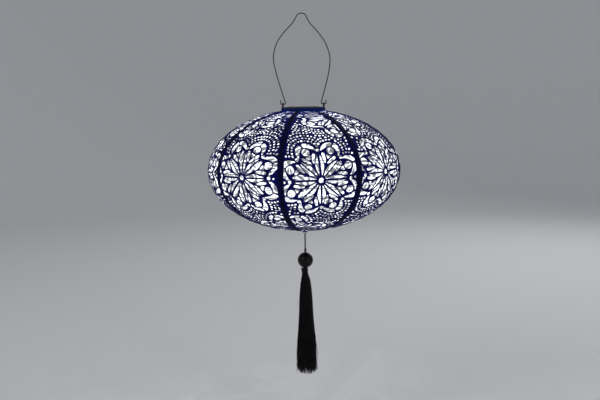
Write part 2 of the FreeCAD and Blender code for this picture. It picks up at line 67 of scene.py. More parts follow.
# Seams narrow with the gore, where its half width is less than this.
NARROWING_WIDTH = 0.022
SEAM_MARGIN = 0.0050
TOP_MARGIN = 0.0035
FOOT_MARGIN = 0.0120
TAPE_WIDTH = 0.0100
TAPE_THICKNESS = 0.00025
TAPE_DEPTH = 0.00045
TAPE_WAVER = 0.0001
LAP_WIDTH = 0.0072
LAP_THICKNESS = 0.0003
LAP_WAVER = 0.00055
# Where the tapes and laps end, measured along the cloth from its top and its foot.
STRIP_TOP_GAP = 0.0012
TAPE_FOOT_GAP = 0.0100
LAP_FOOT_GAP = 0.0155
STRIP_ROWS = 90
STRIP_COLUMNS = 4

# Cut-outs of one flower, whose spokes point away from its centre every 45 degrees.
SPOKES = 8
CENTRE_HOLE_RADIUS = 0.0038
LOBE_DISTANCE = 0.0490
LOBE_RADIUS = 0.0160
LOBE_HOLE_RADIUS = 0.0059
CRESCENT_INNER_RADIUS = 0.0083
SIDE_FLOWER_HEIGHT = 0.1195
SIDE_FLOWER_SIZE = 0.88
MAIN_FLOWER_SIZE = 0.955
# How far each gore's main flower lies off the gore's middle, sideways and up, and its turn in degrees.
MAIN_FLOWER_DRIFTS = (
    (0.0015, -0.0020, -2.0), (-0.0010, 0.0015, 1.5), (0.0020, 0.0000, -3.0), (0.0, -0.0030, 2.0),
    (-0.0020, 0.0010, 0.5), (-0.0030, -0.0007, 0.0), (-0.0007, -0.0034, 3.0), (-0.0040, 0.0031, 1.0),
)
CUSP_HOLE_DISTANCE = 0.0475
CUSP_HOLE_RADIUS = 0.0028
# Cut-outs that the seams leave smaller than this area aren't cut.
SMALLEST_CUT = 3.0e-6

# Dots fill the cloth between the flowers, in rows that follow their outlines.
DOT_RADIUS = 0.00175
DOT_SPACING = 0.0054
DOT_NEAREST = 0.0045
DOT_FIRST_ROW = 0.0053
DOT_ROW_STEP = 0.0059
DOT_ROWS = 9
DOT_CLEARANCE = 0.0034
DOT_ROW_OVERLAP = 0.004
DOT_DRIFT = 0.00012
DOT_FOOT_GAP = 0.016
DOT_TOP_GAP = 0.006
DOT_SEAM_GAP = 0.0025
# Share of the dots that are cut even where they come close to a seam.
DOT_SEAM_SHARE = 0.25

BEAD_BORE = 0.0016
BEAD_COUNTERSINK = 0.0012
BEAD_LIP = 0.0009
# The neck hangs a little to one side of the bead's bore, and the threads come back under it.
NECK_DRIFT = -0.0017
NECK_DRIFT_LENGTH = 0.019
NECK_WAIST_RADIUS = 0.0049
NECK_TURNS = 10
NECK_THREAD_RADIUS = 0.00042
STRAND_COUNT = 760
STRAND_RADIUS = 0.00028
STRAND_STEPS = 18
CLUMP_COUNT = 15
# The first strands are strays, which flick outwards. All fray past this share of the skirt's length.
STRAY_COUNT = 190
FRAY_START = 0.55
SWAY_WAVE = 5.5
CRIMP_WAVES = (23, 19)

# The point light sits this far below the lamp's tip.
LAMP_DROP = 0.003
LAMP_POWER = 0.7
LAMP_RADIUS = 0.0015
FLOOR_DROP = 0.085

# --- the shell's section, measured on the CAD skin ---

skin = [(hypot(v.co.x, v.co.y), v.co.z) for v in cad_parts["gore_1"].data.vertices]
SHELL_RADIUS = max(radius for radius, height in skin)
top_radius, top_height = max(skin, key=lambda place: place[1])
foot_radius, foot_height = min(skin, key=lambda place: place[1])
top_sine = sqrt(1 - (top_radius / SHELL_RADIUS) ** 2)
foot_sine = sqrt(1 - (foot_radius / SHELL_RADIUS) ** 2)
SHELL_HALF_HEIGHT = (top_height - foot_height) / (top_sine + foot_sine)
SHELL_CENTRE = top_height - SHELL_HALF_HEIGHT * top_sine

# Distances along the cloth, from the widest place, at even turns of the section's ellipse.
turns = np.linspace(-asin(foot_sine), asin(top_sine), 800)
section_steps = np.hypot(np.diff(SHELL_RADIUS * np.cos(turns)), np.diff(SHELL_HALF_HEIGHT * np.sin(turns)))
reach = np.concatenate([[0.0], np.cumsum(section_steps)])
reach -= np.interp(0.0, turns, reach)
SHELL_TOP = float(reach[-1])
SHELL_FOOT = float(reach[0])


def shell_radius(height):
    """Radius of the skin at a height along the cloth, measured from the widest place."""
    return SHELL_RADIUS * np.cos(np.interp(height, reach, turns))


def half_width(height):
    """Half the width of a gore at a height along the cloth."""
    return HALF_GORE * shell_radius(height)


def narrowing(height):
    """Share of the full seam width that is left where the gore narrows."""
    return min(1.0, float(half_width(height)) / NARROWING_WIDTH)


def on_shell(across, height, azimuth, inset):
    """Points on the shell, from flat cloth coordinates. inset is how far inside the skin they lie."""
    angle = np.interp(height, reach, turns)
    radius = SHELL_RADIUS * np.cos(angle)
    out = SHELL_HALF_HEIGHT * np.cos(angle)
    rise = SHELL_RADIUS * np.sin(angle)
    size = np.hypot(out, rise)
    turn = azimuth + across / radius
    place = radius - inset * out / size
    level = SHELL_CENTRE + SHELL_HALF_HEIGHT * np.sin(angle) - inset * rise / size
    return np.stack([place * np.cos(turn), place * np.sin(turn), level], axis=1)


def sag(height):
    """How far the cloth draws in between its hoops."""
    share = (height - SHELL_FOOT) / (SHELL_TOP - SHELL_FOOT) * (HOOP_COUNT + 1)
    return CLOTH_SAG * np.sin(pi * share) ** 2


# --- mesh helpers ---

def show(thing):
    bpy.context.scene.collection.objects.link(thing)


def new_mesh(name, points, faces, materials, smooth=None, face_materials=None):
    """A mesh object. smooth has a flag for each face."""
    mesh = bpy.data.meshes.new(name)
    mesh.from_pydata([tuple(p) for p in points], [], [list(f) for f in faces])
    for material in materials:
        mesh.materials.append(material)
    mesh.polygons.foreach_set("use_smooth", smooth or [True] * len(mesh.polygons))
    if face_materials is not None:
        mesh.polygons.foreach_set("material_index", face_materials)
    mesh.update()
    thing = bpy.data.objects.new(name, mesh)
    show(thing)
    return thing


def new_piece(name, points, faces, materials, body, smooth=None, face_materials=None):
    """A mesh object with its materials, riding on a body."""
    piece = new_mesh(name, points, faces, materials, smooth, face_materials)
    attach(piece, body)
    return piece


def tube_rings(path, radii, sides, closed=False):
    """Points and faces of a round tube along a path, with a radius at each of its points."""
    path = [Vector(p) for p in path]
    points = []
    normal = None
    for i, place in enumerate(path):
        ahead = path[(i + 1) % len(path)] if closed else path[min(i + 1, len(path) - 1)]
        back = path[i - 1] if closed or i else path[0]
        along = (ahead - back).normalized()
        if normal is None:
            normal = along.orthogonal().normalized()
        normal = (normal - along * normal.dot(along)).normalized()
        side = along.cross(normal)
        for k in range(sides):
            turn = tau * k / sides
            points.append(place + (normal * cos(turn) + side * sin(turn)) * radii[i])
    faces = []
    for i in range(len(path) if closed else len(path) - 1):
        near = i * sides
        far = (i + 1) % len(path) * sides
        for k in range(sides):
            other = (k + 1) % sides
            faces.append((near + k, near + other, far + other, far + k))
    if not closed:
        faces.append(tuple(reversed(range(sides))))
        faces.append(tuple(range((len(path) - 1) * sides, len(path) * sides)))
    return points, faces


def merged(parts):
    """Several (points, faces) as one."""
    points, faces = [], []
    for more_points, more_faces in parts:
        start = len(points)
        points.extend(more_points)
        faces.extend([tuple(start + i for i in face) for face in more_faces])
    return points, faces


def turned(profile, segments, closed=False):
    """Surface of revolution about Z through (radius, height) corners. A radius of 0 closes an end."""
    points, faces, rows = [], [], []
    for radius, height in profile:
        start = len(points)
        if radius == 0:
            points.append((0, 0, height))
            rows.append([start] * segments)
            continue
        for k in range(segments):
            turn = tau * k / segments
            points.append((radius * cos(turn), radius * sin(turn), height))
        rows.append([start + k for k in range(segments)])
    pairs = list(zip(rows, rows[1:]))
    if closed:
        pairs.append((rows[-1], rows[0]))
    for low, high in pairs:
        for k in range(segments):
            other = (k + 1) % segments
            corners = (low[k], low[other], high[other], high[k])
            faces.append(tuple(dict.fromkeys(corners)))
    return points, faces


# --- material helpers ---

def shader_of(material):
    return material.node_tree.nodes["Principled BSDF"]


def new_material(name, colour, roughness, **sockets):
    """A Principled material, with uniform values set on the shader's own sockets."""
    material = bpy.data.materials.new(name)
    material.use_nodes = True
    shader = shader_of(material)
    shader.inputs["Base Color"].default_value = (*colour, 1)
    shader.inputs["Roughness"].default_value = roughness
    for socket, value in sockets.items():
        shader.inputs[socket.replace("_", " ")].default_value = value
    return material


def add_node(material, kind, **settings):
    """A shader node, whose settings are values of its sockets or its own properties."""
    node = material.node_tree.nodes.new("ShaderNode" + kind)
    for key, value in settings.items():
        if key in node.inputs:
            node.inputs[key].default_value = value
        else:
            setattr(node, key, value)
    return node


def link(material, out_socket, in_socket):
    material.node_tree.links.new(out_socket, in_socket)


def maths(material, operation, *operands):
    """The result of a maths node. Its operands are numbers or outputs of other nodes."""
    node = add_node(material, "Math", operation=operation)
    for socket, operand in zip(node.inputs, operands):
        if isinstance(operand, bpy.types.NodeSocket):
            link(material, operand, socket)
        else:
            socket.default_value = operand
    return node.outputs[0]


def place_of(material, stretch=(1, 1, 1)):
    """Object coordinates, stretched."""
    coordinates = add_node(material, "TexCoord")
    mapping = add_node(material, "Mapping", Scale=stretch)
    link(material, coordinates.outputs["Object"], mapping.inputs["Vector"])
    return mapping.outputs["Vector"]


def noise(material, scale, detail=4.0, distortion=0.0, stretch=(1, 1, 1)):
    """Noise fixed to the object, at a scale per metre."""
    node = add_node(material, "TexNoise", Scale=scale, Detail=detail, Distortion=distortion)
    link(material, place_of(material, stretch), node.inputs["Vector"])
    return node.outputs["Fac"]


def ramp(material, factor, stops):
    """A colour ramp through (position, colour) stops."""
    node = add_node(material, "ValToRGB")
    while len(node.color_ramp.elements) < len(stops):
        node.color_ramp.elements.new(0.5)
    for element, (position, colour) in zip(node.color_ramp.elements, stops):
        element.position = position
        element.color = (*colour, 1) if hasattr(colour, "__len__") else (colour, colour, colour, 1)
    link(material, factor, node.inputs["Fac"])
    return node.outputs["Color"]


def bump(material, height, strength, distance, below=None):
    """Relief on the surface, over the relief below it."""
    node = add_node(material, "Bump", Strength=strength, Distance=distance)
    link(material, height, node.inputs["Height"])
    if below is not None:
        link(material, below, node.inputs["Normal"])
    into(material, node.outputs["Normal"], "Normal")
    return node.outputs["Normal"]


def into(material, out_socket, socket):
    """Drives one of the shader's sockets."""
    link(material, out_socket, shader_of(material).inputs[socket])


# --- materials ---

def lamp_glow(material, stops):
    """Light through the cloth, by distance from the lamp. The stops are (metres, colour)."""
    away = add_node(material, "VectorMath", operation="DISTANCE")
    away.inputs[1].default_value = LAMP_PLACE
    link(material, place_of(material), away.inputs[0])
    share = maths(material, "DIVIDE", away.outputs["Value"], GLOW_REACH)
    shares = [(distance / GLOW_REACH, colour) for distance, colour in stops]
    into(material, ramp(material, share, shares), "Emission Color")


def spun_cloth(name, dark, light, glow=0.0, glow_stops=None):
    """Spun-bonded sheet: swirling fibres, cloudy dye, and the lamp's light coming through it."""
    material = new_material(name, light, 0.7, Emission_Strength=glow, Specular_IOR_Level=0.07)
    cloud = noise(material, 38.0, 5.0, 0.6)
    fibre = noise(material, 900.0, 6.0, 2.2)
    fibre_share = 0.45
    mixed = maths(material, "MULTIPLY_ADD", fibre, fibre_share, cloud)
    into(material, ramp(material, mixed, [(0.45, dark), (0.95, light)]), "Base Color")
    into(material, ramp(material, fibre, [(0.3, 0.62), (0.7, 0.85)]), "Roughness")
    if glow_stops:
        lamp_glow(material, glow_stops)
    coarse = bump(material, cloud, 0.25, 0.0012)
    bump(material, fibre, 0.35, 0.00025, coarse)
    return material


def moulded_plastic(name, colour, roughness=0.42):
    """Moulded plastic: fine spark-eroded grain and slight handling marks."""
    material = new_material(name, colour, roughness)
    grain = noise(material, 1500.0, 2.0)
    marks = noise(material, 60.0, 6.0, 0.8)
    into(material, ramp(material, marks, [(0.35, roughness - 0.08), (0.7, roughness + 0.12)]), "Roughness")
    bump(material, grain, 0.12, 0.0001)
    return material


def painted_wire(name, colour, roughness):
    """Wire under a thin coat, a little uneven along its length."""
    material = new_material(name, colour, roughness, Coat_Weight=0.08, Coat_Roughness=0.3,
                            Specular_IOR_Level=0.3)
    lumps = noise(material, 420.0, 4.0)
    patches = noise(material, 90.0, 5.0, 1.0)
    lighter = tuple(min(1.0, c * 2.0 + 0.006) for c in colour)
    roughnesses = [(0.3, roughness - 0.07), (0.75, roughness + 0.15)]
    into(material, ramp(material, patches, [(0.45, colour), (0.8, lighter)]), "Base Color")
    into(material, ramp(material, patches, roughnesses), "Roughness")
    bump(material, lumps, 0.2, 0.00012)
    return material


def bare_metal(name, colour, roughness):
    """Drawn metal with fine scratches."""
    material = new_material(name, colour, roughness, Metallic=1.0)
    scratches = noise(material, 500.0, 5.0, stretch=(1, 1, 12))
    roughnesses = [(0.3, roughness - 0.08), (0.75, roughness + 0.18)]
    into(material, ramp(material, scratches, roughnesses), "Roughness")
    bump(material, scratches, 0.08, 0.00008)
    return material


def thread(name, colour, sheen):
    """Rayon thread: fine filaments along its length with a soft sheen."""
    material = new_material(name, colour, 0.38, Sheen_Weight=sheen, Sheen_Roughness=0.35, Anisotropic=0.5,
                            Specular_IOR_Level=0.13)
    drawn_out = (1, 1, 0.06)
    filaments = noise(material, 2600.0, 3.0, stretch=drawn_out)
    tone = noise(material, 700.0, 3.0, stretch=drawn_out)
    lighter = tuple(c * 2.2 + 0.004 for c in colour)
    into(material, ramp(material, tone, [(0.35, colour), (0.75, lighter)]), "Base Color")
    into(material, ramp(material, filaments, [(0.3, 0.28), (0.7, 0.5)]), "Roughness")
    bump(material, filaments, 0.3, 0.00015)
    return material


def twisted_cord(name, colour):
    """Twisted cord: slanting strands along its length, with painted shade in the grooves between them and a
    painted highlight on their crests.
    """
    material = new_material(name, colour, 0.5, Sheen_Weight=0.2, Sheen_Roughness=0.4)
    wave = add_node(material, "TexWave", Scale=520.0, Distortion=1.5, bands_direction="DIAGONAL")
    link(material, place_of(material), wave.inputs["Vector"])
    # Darker in the grooves and lighter on the crests, following the strands' relief: painted shade and
    # painted highlight.
    lighter = tuple(c * 2.5 + 0.008 for c in colour)
    into(material, ramp(material, wave.outputs["Fac"], [(0.1, colour), (0.9, lighter)]), "Base Color")
    bump(material, wave.outputs["Fac"], 0.5, 0.0002)
    return material


def gloss_bead(name):
    """Lacquered black bead: deep gloss, faint dust and hairline scratches."""
    material = new_material(name, (0.003, 0.0025, 0.002), 0.1, Coat_Weight=0.08, Coat_Roughness=0.03,
                            Specular_IOR_Level=0.1)
    hairlines = noise(material, 260.0, 8.0, 3.0)
    dust = noise(material, 1900.0, 2.0)
    into(material, ramp(material, hairlines, [(0.4, 0.07), (0.75, 0.16)]), "Roughness")
    dusty = [(0.6, (0.007, 0.005, 0.0045)), (0.85, (0.02, 0.018, 0.017))]
    into(material, ramp(material, dust, dusty), "Base Color")
    bump(material, hairlines, 0.03, 0.0001)
    return material


def cell_surface(name):
    """Solar cell: dark blue wafers split by pale finger lines and two bus bars."""
    material = new_material(name, (0.01, 0.016, 0.05), 0.25, Coat_Weight=0.8, Coat_Roughness=0.05)
    place = place_of(material)
    parts = add_node(material, "SeparateXYZ")
    link(material, place, parts.inputs[0])
    lines = []
    for axis, spacing, width in (("X", 0.0016, 0.12), ("Y", 0.0107, 0.07)):
        wrapped = maths(material, "PINGPONG", maths(material, "DIVIDE", parts.outputs[axis], spacing), 0.5)
        lines.append(maths(material, "LESS_THAN", wrapped, width / 2))
    crystals = add_node(material, "TexVoronoi", Scale=260.0)
    link(material, place, crystals.inputs["Vector"])
    blues = [(0.0, (0.006, 0.012, 0.05)), (0.8, (0.02, 0.04, 0.12))]
    wafer = ramp(material, crystals.outputs["Distance"], blues)
    mix = add_node(material, "Mix", data_type="RGBA")
    mix.inputs["B"].default_value = (0.32, 0.34, 0.38, 1)
    link(material, maths(material, "MAXIMUM", *lines), mix.inputs["Factor"])
    link(material, wafer, mix.inputs[6])
    into(material, mix.outputs[2], "Base Color")
    return material


def printed_board(name):
    """Circuit board: green lacquer with copper traces showing through."""
    material = new_material(name, (0.01, 0.09, 0.03), 0.35, Coat_Weight=0.4, Coat_Roughness=0.2)
    traces = add_node(material, "TexBrick", Scale=240.0, Color1=(0.01, 0.09, 0.03, 1),
                      Color2=(0.012, 0.12, 0.04, 1), Mortar=(0.05, 0.2, 0.05, 1))
    link(material, place_of(material), traces.inputs["Vector"])
    into(material, traces.outputs["Color"], "Base Color")
    return material


def clear_window(name, roughness):
    """Clear plastic with faint smears."""
    material = new_material(name, (0.96, 0.98, 1.0), roughness, Transmission_Weight=1.0, IOR=1.49)
    marks = noise(material, 90.0, 6.0, 1.5)
    into(material, ramp(material, marks, [(0.4, roughness), (0.8, roughness + 0.12)]), "Roughness")
    return material


def lit_led(name):
    """The lamp's clear epoxy, filled with its own light."""
    material = new_material(name, (0.95, 0.97, 1.0), 0.15, Emission_Color=(0.9, 0.95, 1.0, 1),
                            Emission_Strength=25.0)
    into(material, ramp(material, noise(material, 400.0), [(0.4, 0.1), (0.8, 0.25)]), "Roughness")
    return material


def studio_paint(name, colour):
    """Matt paint with a slight unevenness."""
    material = new_material(name, colour, 0.9)
    bump(material, noise(material, 30.0), 0.03, 0.002)
    return material


LED_LOW, LED_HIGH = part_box("led")
LAMP_PLACE = ((LED_LOW.x + LED_HIGH.x) / 2, (LED_LOW.y + LED_HIGH.y) / 2, LED_LOW.z)
# The glow of each cloth is a list of (distance from the lamp, colour) stops within this reach.
GLOW_REACH = 0.25
NAVY_GLOW = ((0.030, (0.025, 0.090, 0.9)), (0.060, (0.008, 0.030, 0.48)), (0.100, (0.002, 0.006, 0.15)),
             (0.135, (0.002, 0.003, 0.11)), (0.180, (0.002, 0.003, 0.15)))
HEM_GLOW = ((0.020, (0.04, 0.13, 1.0)), (0.060, (0.03, 0.10, 0.8)))
LINING_GLOW = ((0.030, (0.98, 0.99, 1.0)), (0.055, (0.72, 0.73, 0.76)), (0.090, (0.96, 0.97, 0.98)),
               (0.200, (0.86, 0.89, 0.93)))

gore_cloth = spun_cloth("gore cloth", (0.0008, 0.0009, 0.011), (0.0036, 0.0044, 0.090), 0.16, NAVY_GLOW)
lining_cloth = spun_cloth("gore lining", (0.76, 0.77, 0.80), (0.93, 0.94, 0.95), 0.36, LINING_GLOW)
# Tapes and laps on the seams are near-black navy without glow: painted shade where the doubled cloth lets
# little of the lamp's light through.
seam_shade_cloth = spun_cloth("seam cloth painted shade", (0.0010, 0.0010, 0.004), (0.0030, 0.0040, 0.050))
hem_cloth = spun_cloth("hem cloth", (0.001, 0.003, 0.016), (0.008, 0.024, 0.150), 0.02, HEM_GLOW)
black_plastic = moulded_plastic("collar plastic", (0.014, 0.014, 0.018))
unit_plastic = moulded_plastic("unit plastic", (0.020, 0.020, 0.024))
housing_plastic = moulded_plastic("housing plastic", (0.80, 0.81, 0.83))
hub_plastic = moulded_plastic("hub plastic", (0.012, 0.013, 0.03))
nub_plastic = moulded_plastic("nub plastic", (0.012, 0.025, 0.22), 0.35)
handle_paint = painted_wire("handle paint", (0.0035, 0.0035, 0.0040), 0.42)
hoop_paint = painted_wire("hoop paint", (0.10, 0.10, 0.115), 0.42)
steel = bare_metal("bright steel", (0.72, 0.72, 0.74), 0.25)
seal_rubber = moulded_plastic("seal rubber", (0.02, 0.02, 0.02), 0.75)
sleeve = moulded_plastic("battery sleeve", (0.05, 0.26, 0.09), 0.3)
black_thread = thread("tassel thread", (0.0020, 0.0020, 0.0025), 0.07)
black_cord = twisted_cord("tassel cord", (0.006, 0.006, 0.007))

# --- camera and cord ---

LENS = 54.5
SENSOR = 36.0
CAMERA_DISTANCE = 1.444
CAMERA_AZIMUTH = radians(13.1)
CAMERA_ELEVATION = radians(4.8)
CAMERA_ROLL = radians(-0.8)
CAMERA_SHIFT = (-0.0069, -0.051)


def set_camera():
    """Looks at the shell's middle from its side, a little above, and rolled by CAMERA_ROLL."""
    camera = bpy.data.objects.new("camera", bpy.data.cameras.new("camera"))
    camera.data.lens = LENS
    camera.data.sensor_width = SENSOR
    camera.data.shift_x, camera.data.shift_y = CAMERA_SHIFT
    camera.data.clip_start = 0.05
    camera.data.clip_end = 50
    level = cos(CAMERA_ELEVATION)
    back = Vector((sin(CAMERA_AZIMUTH) * level, -cos(CAMERA_AZIMUTH) * level, sin(CAMERA_ELEVATION)))
    camera.location = Vector((0, 0, SHELL_CENTRE)) + back * CAMERA_DISTANCE
    turn = back.to_track_quat("Z", "Y").to_matrix()
    c, s = cos(CAMERA_ROLL), sin(CAMERA_ROLL)
    roll = Matrix(((c, -s, 0), (s, c, 0), (0, 0, 1)))
    camera.rotation_euler = (turn @ roll).to_euler()
    show(camera)
    bpy.context.scene.camera = camera


KNOT_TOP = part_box("tassel_knot")[1].z
KNOT_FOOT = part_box("tassel_knot")[0].z
CORD_DIAMETER = 0.00116
CORD_FOOT = 0.00062
CORD_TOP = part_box("tassel_cord")[1].z - CORD_DIAMETER / 2
# The strands run side by side, then part between two depths below the cord's top, to go round the ring.
CORD_BEND = 0.00103
CORD_PARTING = (0.0060, 0.0035)
KNOT_RING = 0.00086
KNOT_WEAVE = 0.00060
KNOT_STEPS = 96
KNOT_TAPER = 0.0004
KNOT_CORE_RADII = (0.0009, 0.0011)


def tassel_cord():
    """The doubled cord, from the knot over the ring and back."""
    parting, parted = CORD_PARTING
    half = [(CORD_FOOT, 0, KNOT_TOP), (CORD_FOOT, 0, CORD_TOP - parting), (CORD_BEND, 0, CORD_TOP - parted),
            (CORD_BEND, 0, CORD_TOP)]
    route = half + [(-x, y, z) for x, y, z in reversed(half)]
    curve = bpy.data.curves.new("tassel_cord_line", "CURVE")
    curve.dimensions = "3D"
    spline = curve.splines.new("NURBS")
    spline.points.add(len(route) - 1)
    for point, place in zip(spline.points, route):
        point.co = (*place, 1)
    spline.order_u = 3
    spline.use_endpoint_u = True
    curve.bevel_depth = CORD_DIAMETER / 2
    curve.bevel_resolution = 3
    curve.resolution_u = 12
    curve.use_fill_caps = True
    curve.materials.append(black_cord)
    cord = bpy.data.objects.new("tassel_cord_line", curve)
    show(cord)
    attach(cord, "tassel")
    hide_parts("tassel_cord")
    return cord


def tassel_knot():
    """A small overhand knot of the same cord, drawn tight."""
    middle = (KNOT_TOP + KNOT_FOOT) / 2
    cord_radius = CORD_DIAMETER / 2
    height_scale = ((KNOT_TOP - KNOT_FOOT) / 2 - cord_radius) / KNOT_WEAVE
    path = []
    for i in range(KNOT_STEPS):
        turn = tau * i / KNOT_STEPS
        out = KNOT_RING + KNOT_WEAVE * cos(3 * turn)
        level = middle + height_scale * KNOT_WEAVE * sin(3 * turn)
        path.append((out * cos(2 * turn), out * sin(2 * turn), level))
    loops = tube_rings(path, [cord_radius] * KNOT_STEPS, 10, closed=True)
    slim, thick = KNOT_CORE_RADII
    core = turned([(0, KNOT_FOOT), (slim, KNOT_FOOT + KNOT_TAPER), (thick, middle),
                   (slim, KNOT_TOP - KNOT_TAPER), (0, KNOT_TOP)], 16)
    points, faces = merged([loops, core])
    knot = new_piece("tassel_knot_tied", points, faces, [black_cord], "tassel")
    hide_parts("tassel_knot")
    return knot


set_camera()
cord_piece = tassel_cord()
knot_piece = tassel_knot()

# --- the cut pattern, on flat cloth ---

# Outlines in a spoke's or a sector's own frame: distance from the flower's centre, then sideways.
LEAF = ((0.0066, 0.0014), (0.0082, 0.0023), (0.0160, 0.0052), (0.0240, 0.0065), (0.0320, 0.0044),
        (0.0408, 0.0016), (0.0395, 0.0014), (0.0240, 0.0014))
OVAL = ((0.0262, 0.0016), (0.0290, 0.0011), (0.0335, 0.0025), (0.0380, 0.0050), (0.0422, 0.0084),
        (0.0424, 0.0106), (0.0395, 0.0117), (0.0350, 0.0090), (0.0300, 0.0053), (0.0268, 0.0030))
WEDGE = ((0.0348, 0.0000), (0.0362, 0.0013), (0.0402, 0.0040), (0.0416, 0.0029), (0.0408, 0.0000),
         (0.0416, -0.0029), (0.0402, -0.0040), (0.0362, -0.0013))


def rounded(corners, passes=2):
    """The outline with its corners cut back, which makes it a smooth curve."""
    for _ in range(passes):
        following = corners[1:] + corners[:1]
        cut = []
        for (ax, ay), (bx, by) in zip(corners, following):
            cut.append((ax * 0.75 + bx * 0.25, ay * 0.75 + by * 0.25))
            cut.append((ax * 0.25 + bx * 0.75, ay * 0.25 + by * 0.75))
        corners = cut
    return corners


def rotated(corners, turn):
    """The outline turned about the flower's centre."""
    c, s = cos(turn), sin(turn)
    return [(x * c - y * s, x * s + y * c) for x, y in corners]


def hand_cut(corners, chance, drift=0.0006, swell=0.06):
    """The outline as a hand would cut it: a little off its place and size."""
    middle_x = sum(x for x, y in corners) / len(corners)
    middle_y = sum(y for x, y in corners) / len(corners)
    size_x = 1 + chance.uniform(-swell, swell)
    size_y = 1 + chance.uniform(-swell, swell)
    move_x = middle_x + chance.uniform(-drift, drift)
    move_y = middle_y + chance.uniform(-drift, drift)
    return [(move_x + (x - middle_x) * size_x, move_y + (y - middle_y) * size_y) for x, y in corners]


def round_hole(x, y, radius, count, chance, squash=0.1):
    """A punched hole, not quite round."""
    phase = chance.uniform(0, tau)
    squeeze = chance.uniform(-squash, squash)
    hole = []
    for k in range(count):
        turn = tau * k / count
        reach_out = radius * (1 + squeeze * cos(2 * turn + phase))
        hole.append((x + reach_out * cos(turn), y + reach_out * sin(turn)))
    return hole


def crescent(side):
    """Half-moon round the outer side of a lobe's hole, pointed where it nears the spoke's end."""
    outer, inner = [], []
    steps = 7
    # In degrees round the lobe's centre.
    start, sweep, lean = 6, 103, 2
    taper = 0.0008
    pointed = 0.85
    for i in range(steps + 1):
        share = i / steps
        turn = radians(start + sweep * share)
        outer.append((turn, LOBE_RADIUS - taper * share))
        thickness = (LOBE_RADIUS - CRESCENT_INNER_RADIUS) * (1 - share ** 4 * pointed)
        inner.append((turn - radians(lean * share), LOBE_RADIUS - thickness))
    ring = outer + inner[::-1]
    return [(LOBE_DISTANCE + r * cos(t), side * r * sin(t)) for t, r in ring]


def flower_cells(chance, wobble=0.02):
    """Every cut-out of one flower, about its own centre."""
    cells = [round_hole(0, 0, CENTRE_HOLE_RADIUS, 14, chance)]
    for k in range(SPOKES):
        spoke = tau * k / SPOKES + chance.uniform(-wobble, wobble)
        sector = tau * (k + 0.5) / SPOKES + chance.uniform(-wobble, wobble)
        for side in (1, -1):
            leaf = rounded([(x, side * y) for x, y in LEAF])
            cells.append(rotated(hand_cut(leaf, chance), spoke))
            oval = rounded([(x, side * y) for x, y in OVAL], 1)
            cells.append(rotated(hand_cut(oval, chance), sector))
            moon = rounded(crescent(side), 1)
            cells.append(rotated(hand_cut(moon, chance, 0.0004, 0.03), sector))
        cells.append(rotated(hand_cut(rounded(list(WEDGE), 1), chance), sector))
        hole_x = LOBE_DISTANCE * cos(sector)
        hole_y = LOBE_DISTANCE * sin(sector)
        cells.append(round_hole(hole_x, hole_y, LOBE_HOLE_RADIUS * chance.uniform(0.9, 1.06), 18, chance))
        cusp_x = CUSP_HOLE_DISTANCE * cos(spoke)
        cusp_y = CUSP_HOLE_DISTANCE * sin(spoke)
        cells.append(round_hole(cusp_x, cusp_y, CUSP_HOLE_RADIUS, 10, chance))
    return cells


def lobe_centres():
    """Centres of the lobes, which lie between the spokes."""
    sectors = [tau * (k + 0.5) / SPOKES for k in range(SPOKES)]
    return [(LOBE_DISTANCE * cos(sector), LOBE_DISTANCE * sin(sector)) for sector in sectors]


def dot_rows(chance):
    """Places of the dots that follow one flower's scalloped outline, nearest row first."""
    rows = []
    half_sector = pi / SPOKES
    for row in range(DOT_ROWS):
        gap = DOT_FIRST_ROW + row * DOT_ROW_STEP
        ring = LOBE_RADIUS + gap
        across = LOBE_DISTANCE * cos(half_sector)
        cusp = across + sqrt(across ** 2 - LOBE_DISTANCE ** 2 + ring ** 2)
        cusp_turn = atan2(cusp * sin(half_sector), cusp * cos(half_sector) - LOBE_DISTANCE)
        count = max(2, round(2 * cusp_turn * ring / DOT_SPACING))
        for k in range(SPOKES):
            sector = tau * (k + 0.5) / SPOKES
            for i in range(count):
                turn = -cusp_turn + 2 * cusp_turn * i / count
                place = (LOBE_DISTANCE + ring * cos(turn), ring * sin(turn))
                x, y = rotated([place], sector)[0]
                rows.append((gap, x + chance.gauss(0, DOT_DRIFT), y + chance.gauss(0, DOT_DRIFT)))
    return rows


class Flower:
    """A flower on the flat cloth. side is 0 in the gore's middle, and 1 or -1 on its seams."""

    def __init__(self, side, height, size, across=0.0, turn=0.0):
        self.side = side
        self.height = height
        self.size = size
        self.across = across
        self.turn = turn
        self.lobes = lobe_centres()

    def to_cloth(self, x, y):
        """A point of the flower, as a place across and along the cloth."""
        x, y = rotated([(x, y)], self.turn)[0]
        height = self.height + y * self.size
        across = self.across + x * self.size
        if self.side:
            across += self.side * float(half_width(height))
        return across, height

    def outline_gap(self, across, height):
        """Distance from the flower's scalloped outline, negative inside it."""
        if self.side:
            across -= self.side * float(half_width(height))
        place = ((across - self.across) / self.size, (height - self.height) / self.size)
        x, y = rotated([place], -self.turn)[0]
        nearest = min(hypot(x - a, y - b) for a, b in self.lobes)
        if hypot(x, y) < LOBE_DISTANCE:
            return -1.0
        return (nearest - LOBE_RADIUS) * self.size


def seam_margin(height):
    """How far the cut-outs stay off a seam. It shrinks where the gore is narrow."""
    return SEAM_MARGIN * narrowing(height)


